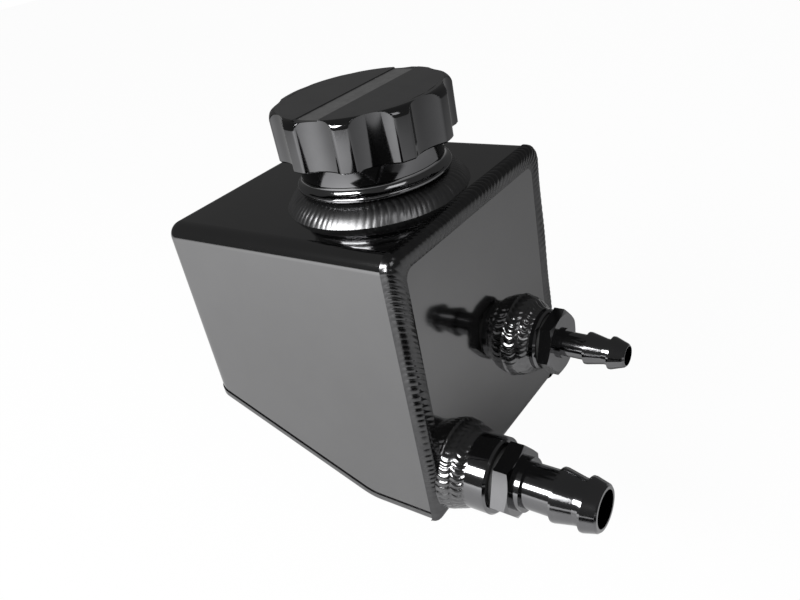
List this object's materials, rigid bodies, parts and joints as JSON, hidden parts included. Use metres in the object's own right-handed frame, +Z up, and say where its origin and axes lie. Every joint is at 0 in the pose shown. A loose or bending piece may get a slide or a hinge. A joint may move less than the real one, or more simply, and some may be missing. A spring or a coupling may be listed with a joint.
{
  "type": "power steering reservoir",
  "caption": "Welded sheet-metal fluid reservoir with a sloping floor, a lobed screw cap on a filler neck, and barbed return and feed hose fittings on its front face.",
  "frame": {"origin": "on the rear wall's outer face, midway between the two tapped fixing bosses", "axes": "+X forward to the hose fittings, +Z up along the filler neck, Y across the tank"},
  "size_m": [0.1464, 0.091, 0.1306],
  "materials": {
    "tank_black": "gloss black, mirror-like",
    "weld_black": "gloss black over rippled weld",
    "neck_black": "polished black",
    "cap_black": "satin black with glossy lobes",
    "bung_black": "polished black",
    "fitting_black": "satin black anodised",
    "seal_rubber": "matt",
    "boss_metal": "gloss black"
  },
  "bodies": {
    "tank": {"tank_shell": "tank_black", "front_pan": "tank_black", "front_weld": "weld_black", "floor_weld": "weld_black", "filler_neck": "neck_black", "neck_weld": "weld_black", "return_bung": "bung_black", "return_weld": "weld_black", "return_fitting": "fitting_black", "return_seal": "seal_rubber", "feed_bung": "bung_black", "feed_weld": "weld_black", "feed_fitting": "fitting_black", "feed_seal": "seal_rubber", "mount_bosses": "boss_metal"},
    "seal_ring": {"cap_seal": "seal_rubber"},
    "cap": {"filler_cap": "cap_black"}
  },
  "joints": [
    {"name": "cap_lift", "type": "slide", "parent": "tank", "child": "seal_ring", "axis": [0, 0, 1], "range_m": [0, 0.009]},
    {"name": "cap_turn", "type": "hinge", "parent": "seal_ring", "child": "cap", "pos_m": [0.0617, -0.0024, 0.05], "axis": [0, 0, 1], "range_deg": [0, 1080]}
  ],
  "couplings": [
    {"joint": "cap_lift", "follows": "cap_turn", "m_per_rad": 0.00047746}
  ]
}
